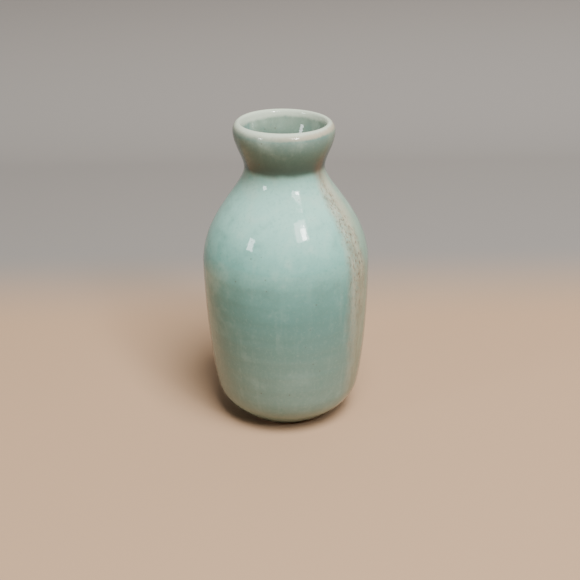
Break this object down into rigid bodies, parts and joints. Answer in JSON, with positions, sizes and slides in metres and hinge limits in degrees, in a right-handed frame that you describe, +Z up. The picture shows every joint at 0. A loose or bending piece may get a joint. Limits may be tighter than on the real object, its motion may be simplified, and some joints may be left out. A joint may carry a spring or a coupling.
{
  "type": "bud vase",
  "caption": "Small round ceramic bud vase: a bottle-shaped body with a pinched neck, a flared mouth with a rounded lip, pale green celadon glaze and a bare foot.",
  "frame": {"origin": "middle of the foot, on the plane that the vase stands on", "axes": "+Z up along the axis of the vase; -Y is the front, with the iron streak towards +X and -Y"},
  "size_m": [0.0644, 0.0644, 0.12],
  "materials": {
    "bare_clay": "matt unglazed stoneware, buff brown with fine dark specks",
    "front_celadon": "glossy translucent blue-green celadon with soft cloudy patches",
    "back_celadon": "glossy translucent grey-green celadon, thinner than the front",
    "iron_glaze": "glossy thin glaze over buff clay, with dark brown iron specks",
    "lip_celadon": "glossy pale celadon that breaks to buff over the edge",
    "liner_celadon": "glossy green celadon liner"
  },
  "bodies": {
    "root": {"clay_body": "bare_clay", "front_glaze": "front_celadon", "back_glaze": "back_celadon", "iron_streak": "iron_glaze", "lip_glaze": "lip_celadon", "liner_glaze": "liner_celadon"}
  },
  "joints": []
}
